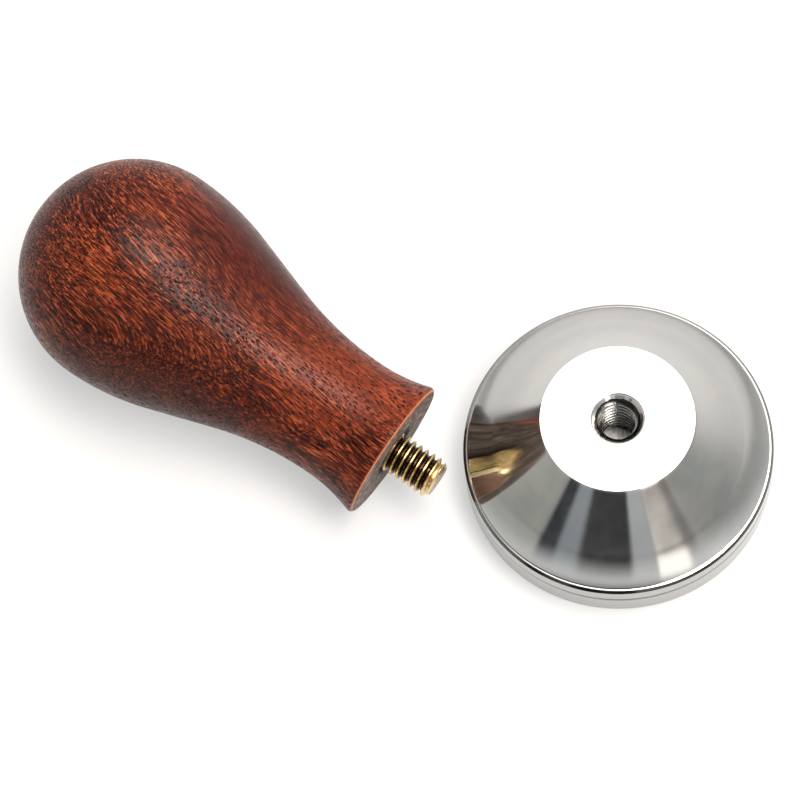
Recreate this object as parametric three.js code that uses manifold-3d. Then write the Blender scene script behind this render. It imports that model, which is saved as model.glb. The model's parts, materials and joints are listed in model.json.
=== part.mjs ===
// Espresso tamper: a turned steel base and a turned wooden handle with a hanger bolt.
// The handle lies unscrewed beside the standing base. Millimetres, +Z up.
// The origin is the centre of the base's tamping face, on the surface that it stands on.

import * as THREE from 'three';
import { mergeVertices } from 'three/addons/utils/BufferGeometryUtils.js';
import Module from 'manifold-3d';

// Base: one turned piece, sized for a 58 mm filter basket
const BASE_RADIUS = 29;
const BASE_HEIGHT = 23.5;
const BOTTOM_ROUND = 0.4;
const SIDE_TOP = 8.6;
const RIM_HEIGHT = 9.2;
const RIM_RADIUS = 28.55;
const LIP_WIDTH = 0.65;
const GROOVE_HEIGHT = 5.35;
const GROOVE_WIDTH = 1;
const GROOVE_DEPTH = 0.35;
const CONE_ANGLE = THREE.MathUtils.degToRad(48);
const CONE_FOOT_RADIUS = 23.5;
const BOSS_RADIUS = 14.4;
const BOSS_BEVEL = 0.15;

// Threaded hole and the bolt's machine thread: 5/16 inch, 18 turns to the inch, right-handed
const THREAD_RADIUS = 3.97;
const THREAD_PITCH = 25.4 / 18;
const THREAD_CORE = 3.1;
const CREST_WIDTH = THREAD_PITCH / 8;
const FLANK_ANGLE = THREE.MathUtils.degToRad(30);
const RADIAL_PLAY = 0.15;
const AXIAL_PLAY = 0.12;
const HOLE_DEPTH = 14;
const RELIEF_RADIUS = 4.2;
const RELIEF_DEPTH = 2.2;
const COUNTERSINK_RADIUS = 4.9;

// Hanger bolt: machine thread outside the wood, wood screw thread inside it
const STUD_LENGTH = 10;
const STUD_TIP_CHAMFER = 1;
const SHANK_LENGTH = 4;
const WOOD_SCREW_LENGTH = 24;
const WOOD_SCREW_TIP = 7;
const WOOD_SCREW_CORE = 2.7;
const WOOD_SCREW_PITCH = 2.8;

// Handle: heights are above its end face, which seats on the boss
const HANDLE_LENGTH = 81;
const BULB_RADIUS = 22;
const CROWN_HEIGHT = 21.8;
const SHOULDER_ARC = 52;
const TAPER_ANGLE = THREE.MathUtils.degToRad(18.2);
const NECK_RADIUS = 12.25;
const NECK_HEIGHT = 11;
const FLARE_ARC = 32;
const END_ROUND = 0.8;
const BORE_RADIUS = THREAD_RADIUS + 0.3;
const BORE_MOUTH_RADIUS = 5;

// Where the handle lies, how close it comes to the boss when it is screwed home, and how many
// whole turns above that it stands ready, with the stud's tip just clear of the hole
const LYING_END = new THREE.Vector2(-41.5, 4.7);
const LYING_HEADING = THREE.MathUtils.degToRad(-43.5);
const SEAT_GAP = 0.3;
const READY_TURNS = 8;

// Facets around: the thread counts divide by four, so ridges and cores share their edges
const BASE_STEPS = 48;
const HANDLE_STEPS = 36;
const THREAD_STEPS = 16;
const WOOD_SCREW_STEPS = 12;
const WELD_DISTANCE = 0.001;

const wasm = await Module();
wasm.setup();

// A geometry's points with near-equal ones welded, and its triangles without the flat ones
function weld(geometry) {
  const bare = geometry.clone();
  bare.deleteAttribute('normal');
  bare.deleteAttribute('uv');
  const merged = mergeVertices(bare, WELD_DISTANCE);
  const index = merged.index.array;
  const corners = [];
  for (let i = 0; i < index.length; i += 3) {
    const [a, b, c] = [index[i], index[i + 1], index[i + 2]];
    if (a !== b && b !== c && c !== a) corners.push(a, b, c);
  }
  const points = new Float32Array(merged.attributes.position.array);
  return { points, corners: new Uint32Array(corners) };
}

// A closed three.js geometry as a solid that can be joined and cut
function toSolid(geometry) {
  const { points, corners } = weld(geometry);
  return new wasm.Manifold(new wasm.Mesh({
    numProp: 3,
    vertProperties: points,
    triVerts: corners,
  }));
}

function toGeometry(solid) {
  const mesh = solid.getMesh();
  const raw = new THREE.BufferGeometry();
  raw.setAttribute('position', new THREE.BufferAttribute(mesh.vertProperties, 3));
  raw.setIndex(new THREE.BufferAttribute(mesh.triVerts, 1));
  const { points, corners } = weld(raw);
  const geometry = new THREE.BufferGeometry();
  geometry.setAttribute('position', new THREE.BufferAttribute(points, 3));
  geometry.setIndex(new THREE.BufferAttribute(corners, 1));
  geometry.computeVertexNormals();
  return geometry;
}

// A profile of (radius, height) points turned about Z, as a solid
function turned(points, steps) {
  const geometry = new THREE.LatheGeometry(points, steps);
  geometry.rotateX(Math.PI / 2);
  return toSolid(geometry);
}

// A plain or tapered round bar between two heights
function bar(lowRadius, lowHeight, highRadius, highHeight, steps) {
  return turned([
    new THREE.Vector2(0, lowHeight),
    new THREE.Vector2(lowRadius, lowHeight),
    new THREE.Vector2(highRadius, highHeight),
    new THREE.Vector2(0, highHeight),
  ], steps);
}

// A right-handed screw ridge: its section is extruded along the turning angle, then wrapped
// about Z. Its crest passes through angle 0 at startHeight.
function screwRidge(sunkRadius, crestRadius, crestWidth, flankAngle, pitch, startHeight, turns, steps) {
  const half = crestWidth / 2;
  const sunkHalf = half + (crestRadius - sunkRadius) * Math.tan(flankAngle);
  const section = new THREE.Shape([
    new THREE.Vector2(sunkRadius, -sunkHalf),
    new THREE.Vector2(crestRadius, -half),
    new THREE.Vector2(crestRadius, half),
    new THREE.Vector2(sunkRadius, sunkHalf),
  ]);
  const lastAngle = turns * 2 * Math.PI;
  const ridge = new THREE.ExtrudeGeometry(section, {
    depth: lastAngle,
    steps: turns * steps,
    bevelEnabled: false,
  });
  const place = ridge.attributes.position;
  for (let i = 0; i < place.count; i += 1) {
    const radius = place.getX(i);
    const angle = lastAngle - place.getZ(i);
    const height = startHeight + place.getY(i) + pitch * angle / (2 * Math.PI);
    place.setXYZ(i, radius * Math.cos(angle), radius * Math.sin(angle), height);
  }
  return toSolid(ridge);
}

// The machine thread, grown by the given play. Bolt and hole share its height reference, so
// their ridges mesh any whole number of turns down.
function machineThread(radialPlay, axialPlay, low, high) {
  const core = THREAD_CORE + radialPlay;
  const crest = THREAD_RADIUS + radialPlay;
  const sunk = core - 0.12;
  const crestWidth = CREST_WIDTH + 2 * (axialPlay - radialPlay * Math.tan(FLANK_ANGLE));
  const firstTurn = Math.floor((low - BASE_HEIGHT) / THREAD_PITCH) - 1;
  const lastTurn = Math.ceil((high - BASE_HEIGHT) / THREAD_PITCH) + 1;
  const start = BASE_HEIGHT + firstTurn * THREAD_PITCH;
  const ridge = screwRidge(sunk, crest, crestWidth, FLANK_ANGLE, THREAD_PITCH, start,
    lastTurn - firstTurn, THREAD_STEPS);
  return bar(core, low, core, high, THREAD_STEPS).add(ridge);
}

function baseOutline() {
  const coneHeight = (radius) => BASE_HEIGHT - (radius - BOSS_RADIUS) * Math.tan(CONE_ANGLE);
  const lipRadius = RIM_RADIUS - LIP_WIDTH;
  const footControl = (CONE_FOOT_RADIUS + lipRadius) / 2;
  const outline = new THREE.Path();
  outline.moveTo(0, 0);
  outline.lineTo(BASE_RADIUS - BOTTOM_ROUND, 0);
  outline.absarc(BASE_RADIUS - BOTTOM_ROUND, BOTTOM_ROUND, BOTTOM_ROUND, -Math.PI / 2, 0);
  outline.lineTo(BASE_RADIUS, GROOVE_HEIGHT - GROOVE_WIDTH / 2);
  outline.lineTo(BASE_RADIUS - GROOVE_DEPTH, GROOVE_HEIGHT);
  outline.lineTo(BASE_RADIUS, GROOVE_HEIGHT + GROOVE_WIDTH / 2);
  outline.lineTo(BASE_RADIUS, SIDE_TOP);
  outline.lineTo(RIM_RADIUS, RIM_HEIGHT);
  outline.lineTo(lipRadius, RIM_HEIGHT);
  outline.quadraticCurveTo(footControl, coneHeight(footControl),
    CONE_FOOT_RADIUS, coneHeight(CONE_FOOT_RADIUS));
  outline.lineTo(BOSS_RADIUS, coneHeight(BOSS_RADIUS) - BOSS_BEVEL);
  outline.lineTo(BOSS_RADIUS - BOSS_BEVEL, BASE_HEIGHT);
  outline.lineTo(0, BASE_HEIGHT);
  return outline.getPoints(3);
}

// The thread stops short of the hole's bottom, in a plain relief that is a little wider
function buildBase() {
  const holeBottom = BASE_HEIGHT - HOLE_DEPTH;
  const threadEnd = holeBottom + RELIEF_DEPTH;
  const over = BASE_HEIGHT + 1;
  const mouthDrop = COUNTERSINK_RADIUS - THREAD_RADIUS;
  const envelope = bar(THREAD_RADIUS + 1, threadEnd, THREAD_RADIUS + 1, over, THREAD_STEPS);
  const thread = machineThread(RADIAL_PLAY, AXIAL_PLAY, threadEnd, over).intersect(envelope);
  const relief = bar(RELIEF_RADIUS, holeBottom, RELIEF_RADIUS, threadEnd, BASE_STEPS);
  const mouth = bar(THREAD_RADIUS, BASE_HEIGHT - mouthDrop, COUNTERSINK_RADIUS + 1, over,
    BASE_STEPS);
  return turned(baseOutline(), BASE_STEPS).subtract(thread).subtract(relief).subtract(mouth);
}

// The bolt as it stands with the handle: its stud hangs below the handle's end face
function buildBolt(seatHeight) {
  const tip = seatHeight - STUD_LENGTH;
  const shankTop = seatHeight + SHANK_LENGTH;
  const screwTop = shankTop + WOOD_SCREW_LENGTH;
  const studEnvelope = turned([
    new THREE.Vector2(0, tip),
    new THREE.Vector2(THREAD_RADIUS - STUD_TIP_CHAMFER, tip),
    new THREE.Vector2(THREAD_RADIUS, tip + STUD_TIP_CHAMFER),
    new THREE.Vector2(THREAD_RADIUS, seatHeight + 1),
    new THREE.Vector2(0, seatHeight + 1),
  ], THREAD_STEPS);
  const stud = machineThread(0, 0, tip, seatHeight + 1).intersect(studEnvelope);
  const shank = bar(THREAD_RADIUS - 0.1, seatHeight + 0.5, THREAD_RADIUS - 0.1, shankTop,
    WOOD_SCREW_STEPS);
  const screwBlank = (radius, tipRadius) => turned([
    new THREE.Vector2(0, shankTop - 0.5),
    new THREE.Vector2(radius, shankTop - 0.5),
    new THREE.Vector2(radius, screwTop - WOOD_SCREW_TIP),
    new THREE.Vector2(tipRadius, screwTop),
    new THREE.Vector2(0, screwTop),
  ], WOOD_SCREW_STEPS);
  const ridge = screwRidge(WOOD_SCREW_CORE / 2, THREAD_RADIUS, 0.3, FLANK_ANGLE / 2,
    WOOD_SCREW_PITCH, shankTop - WOOD_SCREW_PITCH, Math.ceil(WOOD_SCREW_LENGTH / WOOD_SCREW_PITCH) + 1,
    WOOD_SCREW_STEPS);
  const woodScrew = screwBlank(WOOD_SCREW_CORE, 0.3).add(ridge)
    .intersect(screwBlank(THREAD_RADIUS, 0.5));
  return stud.add(shank).add(woodScrew);
}

function handleOutline(seatHeight) {
  const bulbHeight = HANDLE_LENGTH - CROWN_HEIGHT;
  const boreTop = SHANK_LENGTH + WOOD_SCREW_LENGTH + 1;
  const shoulderX = BULB_RADIUS - SHOULDER_ARC;
  const flareX = NECK_RADIUS + FLARE_ARC;

  // The taper runs from the shoulder arc to the neck arc, tangent to both
  const sine = Math.sin(TAPER_ANGLE);
  const cosine = Math.cos(TAPER_ANGLE);
  const taperRadius = shoulderX + SHOULDER_ARC * cosine;
  const taperHeight = bulbHeight - SHOULDER_ARC * sine;
  const neckArc = (taperRadius - NECK_RADIUS - (taperHeight - NECK_HEIGHT) * sine / cosine)
    / (1 - cosine - sine * sine / cosine);
  const neckX = NECK_RADIUS + neckArc;

  // The end's rounded edge is tangent to the flare and to the end face
  const edgeX = flareX - Math.sqrt((FLARE_ARC + END_ROUND) ** 2 - (NECK_HEIGHT - END_ROUND) ** 2);
  const edgeAngle = Math.atan2(NECK_HEIGHT - END_ROUND, flareX - edgeX);

  const outline = new THREE.Path();
  outline.moveTo(0, boreTop);
  outline.lineTo(BORE_RADIUS, boreTop - WOOD_SCREW_TIP);
  outline.lineTo(BORE_RADIUS, BORE_MOUTH_RADIUS - BORE_RADIUS);
  outline.lineTo(BORE_MOUTH_RADIUS, 0);
  outline.lineTo(edgeX, 0);
  outline.absarc(edgeX, END_ROUND, END_ROUND, -Math.PI / 2, edgeAngle);
  outline.absarc(flareX, NECK_HEIGHT, FLARE_ARC, Math.PI + edgeAngle, Math.PI, true);
  outline.absarc(neckX, NECK_HEIGHT, neckArc, Math.PI, Math.PI - TAPER_ANGLE, true);
  outline.lineTo(taperRadius, taperHeight);
  outline.absarc(shoulderX, bulbHeight, SHOULDER_ARC, -TAPER_ANGLE, 0);
  outline.absellipse(0, bulbHeight, BULB_RADIUS, CROWN_HEIGHT, 0, Math.PI / 2);
  const points = outline.getPoints(5);
  points[points.length - 1].x = 0;
  return points.map((point) => new THREE.Vector2(point.x, point.y + seatHeight));
}

// The lying handle touches the surface with its bulb and with the edge of its end face. Its
// tilt is the steepest line from that edge to the outline.
function lyingPlace(outline, seatHeight) {
  const edge = outline.reduce((best, point) => {
    const isEdge = point.y < seatHeight + NECK_HEIGHT && point.x > best.x;
    return isEdge ? point : best;
  }, outline[0]);
  let tilt = 0;
  for (const point of outline) {
    if (point.y > edge.y + NECK_HEIGHT) {
      tilt = Math.max(tilt, Math.atan2(point.x - edge.x, point.y - edge.y));
    }
  }
  const towardsStud = new THREE.Vector3(
    Math.cos(tilt) * Math.cos(LYING_HEADING),
    Math.cos(tilt) * Math.sin(LYING_HEADING),
    -Math.sin(tilt),
  );
  const endHeight = edge.x * Math.cos(tilt) - (edge.y - seatHeight) * Math.sin(tilt);
  return { towardsStud, end: new THREE.Vector3(LYING_END.x, LYING_END.y, endHeight) };
}

// One swing about one fixed axis carries the handle from where it lies to where it stands
// ready over the hole. The axis is square to the change of direction and of place.
function findHinge(lying, seatHeight) {
  const readyEnd = new THREE.Vector3(0, 0, seatHeight);
  const down = new THREE.Vector3(0, 0, -1);
  const travel = readyEnd.clone().sub(lying.end);
  const axis = lying.towardsStud.clone().sub(down).cross(travel).normalize();
  const from = lying.towardsStud.clone().projectOnPlane(axis);
  const to = down.clone().projectOnPlane(axis);
  let angle = from.angleTo(to);
  if (from.clone().cross(to).dot(axis) < 0) angle = 2 * Math.PI - angle;
  const centre = readyEnd.clone().add(lying.end).multiplyScalar(0.5);
  centre.addScaledVector(axis.clone().cross(travel), 0.5 / Math.tan(angle / 2));
  return { axis, angle, centre };
}

function finish(color, roughness, metalness) {
  return new THREE.MeshStandardMaterial({ color, roughness, metalness });
}

function piece(name, solid, material) {
  const mesh = new THREE.Mesh(toGeometry(solid), material);
  mesh.name = name;
  return mesh;
}

const seatHeight = BASE_HEIGHT + SEAT_GAP + READY_TURNS * THREAD_PITCH;
const handlePoints = handleOutline(seatHeight);
const hinge = findHinge(lyingPlace(handlePoints, seatHeight), seatHeight);

// Both pieces of the handle are made standing ready, then laid down together
const handle = new THREE.Group();
handle.name = 'handle';
handle.add(piece('wooden_handle', turned(handlePoints, HANDLE_STEPS), finish(0x7e3b22, 0.45, 0)));
handle.add(piece('hanger_bolt', buildBolt(seatHeight), finish(0xb8a15a, 0.3, 1)));
handle.quaternion.setFromAxisAngle(hinge.axis, -hinge.angle);
handle.position.copy(hinge.centre).sub(hinge.centre.clone().applyQuaternion(handle.quaternion));

const tamper = new THREE.Group();
tamper.name = 'espresso_tamper';
tamper.add(piece('tamper_base', buildBase(), finish(0xc9cac6, 0.12, 1)));
tamper.add(handle);

export default tamper;
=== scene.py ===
"""Looks of an espresso tamper taken apart: a polished steel base and a wooden handle with its bolt.

Every piece is a fine mesh that stands for one CAD solid. It has that solid's dimensions, apart from
a finer rim, an eased countersink edge and a handle drawn a trace thinner, each marked below. Meshes
are made from columns of (radius, height) points in millimetres, turned about Z, and stored in
metres.
"""

import json
import math

import bmesh
import bpy
from mathutils import Matrix, Vector


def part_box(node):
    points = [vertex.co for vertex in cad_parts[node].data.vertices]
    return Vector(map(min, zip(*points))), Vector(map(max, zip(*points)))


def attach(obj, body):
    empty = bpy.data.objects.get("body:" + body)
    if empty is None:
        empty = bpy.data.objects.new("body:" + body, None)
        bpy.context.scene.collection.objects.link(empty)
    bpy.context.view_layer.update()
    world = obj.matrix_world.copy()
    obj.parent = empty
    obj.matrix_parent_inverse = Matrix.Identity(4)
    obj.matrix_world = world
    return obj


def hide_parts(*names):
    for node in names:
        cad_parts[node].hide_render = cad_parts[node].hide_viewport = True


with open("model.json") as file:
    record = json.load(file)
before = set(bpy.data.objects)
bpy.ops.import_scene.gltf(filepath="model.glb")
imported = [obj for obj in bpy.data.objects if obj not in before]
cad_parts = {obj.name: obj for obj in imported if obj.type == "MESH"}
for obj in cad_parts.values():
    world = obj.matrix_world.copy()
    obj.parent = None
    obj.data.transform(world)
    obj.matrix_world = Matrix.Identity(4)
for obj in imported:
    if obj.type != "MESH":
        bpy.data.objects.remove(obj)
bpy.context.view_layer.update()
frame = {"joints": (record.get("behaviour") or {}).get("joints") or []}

MM = 0.001

# ---------------------------------------------------------------------------------------------
# Dimensions in millimetres: the CAD model's, unless a comment says otherwise
# ---------------------------------------------------------------------------------------------

base_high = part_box("tamper_base")[1]
BASE_RADIUS = base_high.x / MM
BASE_HEIGHT = base_high.z / MM
BOTTOM_ROUND = 0.4
SIDE_TOP = 8.6
RIM_HEIGHT = 9.2
GROOVE_HEIGHT = 5.35
GROOVE_WIDTH = 1.0
GROOVE_DEPTH = 0.35
CONE_ANGLE = math.radians(48)
CONE_FOOT_RADIUS = 23.5
CONE_HOLLOW = 0.12
BOSS_RADIUS = 14.4
BOSS_BEVEL = 0.15

# Finer than the CAD model: the rim's flat lip is narrow and slopes down a little to its corner, and
# the edges of the side and of the countersink are eased
RIM_RADIUS = 28.52
LIP_WIDTH = 0.29
LIP_DROP = 0.042
EDGE_EASE = 0.06
MOUTH_EASE = 0.30

THREAD_RADIUS = 3.97
THREAD_PITCH = 25.4 / 18
THREAD_CORE = 3.1
CREST_WIDTH = THREAD_PITCH / 8
FLANK_ANGLE = math.radians(30)
RADIAL_PLAY = 0.15
AXIAL_PLAY = 0.12
HOLE_DEPTH = 14.0
RELIEF_RADIUS = 4.2
RELIEF_DEPTH = 2.2
COUNTERSINK_RADIUS = 4.9

STUD_LENGTH = 10.0
STUD_TIP_CHAMFER = 1.0
STUD_TIP_RADIUS = THREAD_RADIUS - STUD_TIP_CHAMFER
THREAD_IN_BORE = 0.5
SHANK_LENGTH = 4.0
SHANK_RADIUS = THREAD_RADIUS - 0.1
SHANK_STEP = 0.1
WOOD_SCREW_LENGTH = 24.0
WOOD_SCREW_TIP = 7.0
WOOD_SCREW_CORE = 2.7
WOOD_SCREW_PITCH = 2.8
WOOD_SCREW_CREST = 0.3
WOOD_SCREW_FLANK = FLANK_ANGLE / 2
WOOD_TIP_CORE = 0.3
WOOD_TIP_RADIUS = 0.5

HANDLE_LENGTH = 81.0
BULB_RADIUS = 22.0
CROWN_HEIGHT = 21.8
SHOULDER_ARC = 52.0
TAPER_ANGLE = math.radians(18.2)
NECK_RADIUS = 12.25
NECK_HEIGHT = 11.0
FLARE_ARC = 32.0
END_ROUND = 0.8
BORE_RADIUS = THREAD_RADIUS + 0.3
BORE_MOUTH_RADIUS = 5.0
BORE_SPARE = 1

# With the handle standing ready, its end face is this high and the thread's crest passes angle 0
# this far below it
SEAT_GAP = 0.3
READY_TURNS = 8
READY_HEIGHT = BASE_HEIGHT + SEAT_GAP + READY_TURNS * THREAD_PITCH

# ---------------------------------------------------------------------------------------------
# Mesh building
# ---------------------------------------------------------------------------------------------

ROUND_STEPS = 192
THREAD_COLUMNS = 144
INSIDE_FACETS = 0.997  # keeps the round handle inside the CAD model's faceted one
WELD = 1e-7
SHARP_ANGLE = math.radians(28)

INSET = 0.06
FINE_INSET = 0.03
FINEST_INSET = 0.02
LARGEST_INSET_SHARE = 0.2
FLANK_SHARES = (0, 0.08, 0.25, 0.5, 0.75, 0.92, 1)
FLANK_SOFTNESS = 0.4


def arc(centre_radius, centre_height, radius, start, end, steps, tall=None):
    """Points on a round or elliptical stretch of an outline, from one angle to another."""
    tall = radius if tall is None else tall
    points = []
    for i in range(steps + 1):
        angle = start + (end - start) * i / steps
        points.append((centre_radius + radius * math.cos(angle),
                       centre_height + tall * math.sin(angle)))
    return points


def straight(start, end, steps=4, inset=INSET):
    """Points on a straight stretch, with one close to each end so that its shading stays flat."""
    margin = min(inset / math.dist(start, end), LARGEST_INSET_SHARE)
    shares = [0, margin] + [i / steps for i in range(1, steps)] + [1 - margin, 1]
    return [tuple(a + (b - a) * share for a, b in zip(start, end)) for share in shares]


def quadratic(start, control, end, steps):
    """Points on a quadratic Bezier stretch of an outline."""
    points = []
    for i in range(steps + 1):
        t = i / steps
        points.append(tuple((1 - t) ** 2 * a + 2 * t * (1 - t) * b + t * t * c
                            for a, b, c in zip(start, control, end)))
    return points


def eased(corners, ease):
    """A path through corner points, with each inner corner eased by a small curve."""
    def towards(corner, other):
        share = ease / math.dist(corner, other)
        return tuple(a + (b - a) * share for a, b in zip(corner, other))

    path = []
    last = corners[0]
    for before, corner, after in zip(corners, corners[1:], corners[2:]):
        start, end = towards(corner, before), towards(corner, after)
        path += straight(last, start, steps=2, inset=FINE_INSET)[:-1]
        path += quadratic(start, corner, end, steps=4)[:-1]
        last = end
    return path + straight(last, corners[-1], steps=2, inset=FINE_INSET)


def turned(name, column, columns):
    """A closed mesh from columns of (radius, height) points round Z. column(turn) gives the points
    at that share of a full turn, from the bottom of the axis outwards, up, and back to the axis."""
    shape = bmesh.new()
    rows = []
    for i in range(columns + 1):
        angle = 2 * math.pi * (i % columns) / columns
        across, deep = math.cos(angle), math.sin(angle)
        rows.append([shape.verts.new((radius * across * MM, radius * deep * MM, height * MM))
                     for radius, height in column(i / columns)])
    for here, there in zip(rows, rows[1:]):
        for i in range(len(here) - 1):
            shape.faces.new((here[i], there[i], there[i + 1], here[i + 1]))
    bmesh.ops.remove_doubles(shape, verts=shape.verts, dist=WELD)
    mesh = bpy.data.meshes.new(name)
    shape.to_mesh(mesh)
    shape.free()
    mesh.shade_smooth()
    mesh.set_sharp_from_angle(angle=SHARP_ANGLE)
    piece = bpy.data.objects.new(name, mesh)
    bpy.context.scene.collection.objects.link(piece)
    return piece


def thread_turn(crest, core, crest_width, flank, pitch):
    """One turn of a thread as (height, radius) points, starting at the middle of its crest."""
    half = crest_width / 2
    flank_width = (crest - core) * math.tan(flank)
    rising = []
    for share in FLANK_SHARES:
        soft = share * share * (3 - 2 * share)
        drop = (1 - FLANK_SOFTNESS) * share + FLANK_SOFTNESS * soft
        rising.append((half + share * flank_width, crest - drop * (crest - core)))
    root = (pitch / 2, core)
    falling = [(pitch - height, radius) for height, radius in reversed(rising)]
    return [(0, crest)] + rising + [root] + falling


def thread_rows(turn_points, pitch, low, high, phase, turn):
    """(radius, height) points up a right-handed thread between two heights, at a share of a turn.
    The rows follow the helix, and those past an end are gathered on it."""
    first = math.floor((low - phase) / pitch) - 1
    last = math.ceil((high - phase) / pitch) + 1
    rows = []
    for k in range(first, last):
        for height, radius in turn_points:
            place = phase + (k + turn) * pitch + height
            rows.append((radius, min(max(place, low), high)))
    return rows


# ---------------------------------------------------------------------------------------------
# Base
# ---------------------------------------------------------------------------------------------

HOLE_FLOOR = BASE_HEIGHT - HOLE_DEPTH
HOLE_FLOOR_SHARES = (0.97, 0.75, 0.5, 0.25, 0)


def cone_height(radius):
    return BASE_HEIGHT - (radius - BOSS_RADIUS) * math.tan(CONE_ANGLE)


def base_outline():
    """From the middle of the bottom, out, up the side, in over the cone and to the hole's mouth."""
    corner = BASE_RADIUS - BOTTOM_ROUND
    lip_radius = RIM_RADIUS - LIP_WIDTH
    side = [
        (BASE_RADIUS, BOTTOM_ROUND),
        (BASE_RADIUS, GROOVE_HEIGHT - GROOVE_WIDTH / 2),
        (BASE_RADIUS - GROOVE_DEPTH, GROOVE_HEIGHT),
        (BASE_RADIUS, GROOVE_HEIGHT + GROOVE_WIDTH / 2),
        (BASE_RADIUS, SIDE_TOP),
        (RIM_RADIUS, RIM_HEIGHT - LIP_DROP),
        (lip_radius, RIM_HEIGHT),
    ]
    foot_control = (CONE_FOOT_RADIUS + lip_radius) / 2
    foot = (CONE_FOOT_RADIUS, cone_height(CONE_FOOT_RADIUS))
    cone_top = (BOSS_RADIUS, cone_height(BOSS_RADIUS) - BOSS_BEVEL)
    cone_middle = ((foot[0] + cone_top[0]) / 2, (foot[1] + cone_top[1]) / 2 - CONE_HOLLOW)
    boss_edge = (BOSS_RADIUS - BOSS_BEVEL, BASE_HEIGHT)
    mouth_start = (COUNTERSINK_RADIUS + MOUTH_EASE / 2, BASE_HEIGHT)
    mouth_end = (COUNTERSINK_RADIUS - MOUTH_EASE, BASE_HEIGHT - MOUTH_EASE)
    return [
        (0, 0),
        *straight((COUNTERSINK_RADIUS, 0), (corner, 0)),
        *arc(corner, BOTTOM_ROUND, BOTTOM_ROUND, -math.pi / 2, 0, steps=8)[:-1],
        *eased(side, EDGE_EASE),
        *quadratic(side[-1], (foot_control, cone_height(foot_control)), foot, steps=24)[1:],
        *quadratic(foot, cone_middle, cone_top, steps=24)[1:],
        *straight(cone_top, boss_edge, steps=2, inset=FINEST_INSET)[1:],
        *straight(boss_edge, mouth_start)[1:],
        *quadratic(mouth_start, (COUNTERSINK_RADIUS, BASE_HEIGHT), mouth_end, steps=6)[1:],
    ]


def build_base():
    outline = base_outline()
    thread_bottom = HOLE_FLOOR + RELIEF_DEPTH
    crest_width = CREST_WIDTH + 2 * (AXIAL_PLAY - RADIAL_PLAY * math.tan(FLANK_ANGLE))
    one_turn = thread_turn(THREAD_RADIUS + RADIAL_PLAY, THREAD_CORE + RADIAL_PLAY, crest_width,
                           FLANK_ANGLE, THREAD_PITCH)

    def countersunk(radius, height):
        return max(radius, COUNTERSINK_RADIUS - BASE_HEIGHT + height), height

    def column(turn):
        rows = thread_rows(one_turn, THREAD_PITCH, thread_bottom, BASE_HEIGHT - MOUTH_EASE,
                           BASE_HEIGHT, turn)
        hole = [countersunk(*row) for row in reversed(rows)]
        relief = straight((RELIEF_RADIUS, thread_bottom), (RELIEF_RADIUS, HOLE_FLOOR), steps=3)
        floor = [(RELIEF_RADIUS * share, HOLE_FLOOR) for share in HOLE_FLOOR_SHARES]
        return outline + hole + relief + floor

    return turned("steel_base", column, ROUND_STEPS)


# ---------------------------------------------------------------------------------------------
# Bolt and handle, both with height 0 at the handle's end face and the stud pointing down
# ---------------------------------------------------------------------------------------------

STUD_END_SHARES = (0, 0.5, 0.96)


def build_bolt():
    machine_turn = thread_turn(THREAD_RADIUS, THREAD_CORE, CREST_WIDTH, FLANK_ANGLE, THREAD_PITCH)
    wood_turn = thread_turn(THREAD_RADIUS, WOOD_SCREW_CORE, WOOD_SCREW_CREST, WOOD_SCREW_FLANK,
                            WOOD_SCREW_PITCH)
    screw_top = SHANK_LENGTH + WOOD_SCREW_LENGTH
    taper_start = screw_top - WOOD_SCREW_TIP

    def stud(radius, height):
        chamfer = STUD_TIP_RADIUS + (height + STUD_LENGTH)
        return min(radius, chamfer), height

    def wood_screw(radius, height):
        share = max(0, (height - taper_start) / WOOD_SCREW_TIP)
        core = WOOD_SCREW_CORE + (WOOD_TIP_CORE - WOOD_SCREW_CORE) * share
        widest = THREAD_RADIUS + (WOOD_TIP_RADIUS - THREAD_RADIUS) * share
        return min(core + (radius - WOOD_SCREW_CORE), widest), height

    def column(turn):
        machine = thread_rows(machine_turn, THREAD_PITCH, -STUD_LENGTH, THREAD_IN_BORE, -SEAT_GAP,
                              turn)
        wood = thread_rows(wood_turn, WOOD_SCREW_PITCH, SHANK_LENGTH, screw_top, SHANK_LENGTH, turn)
        return [
            *((STUD_TIP_RADIUS * share, -STUD_LENGTH) for share in STUD_END_SHARES),
            *(stud(*row) for row in machine),
            (SHANK_RADIUS, THREAD_IN_BORE + SHANK_STEP),
            (SHANK_RADIUS, SHANK_LENGTH - SHANK_STEP),
            *(wood_screw(*row) for row in wood),
            (0, screw_top),
        ]

    return turned("zinc_bolt", column, THREAD_COLUMNS)


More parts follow.
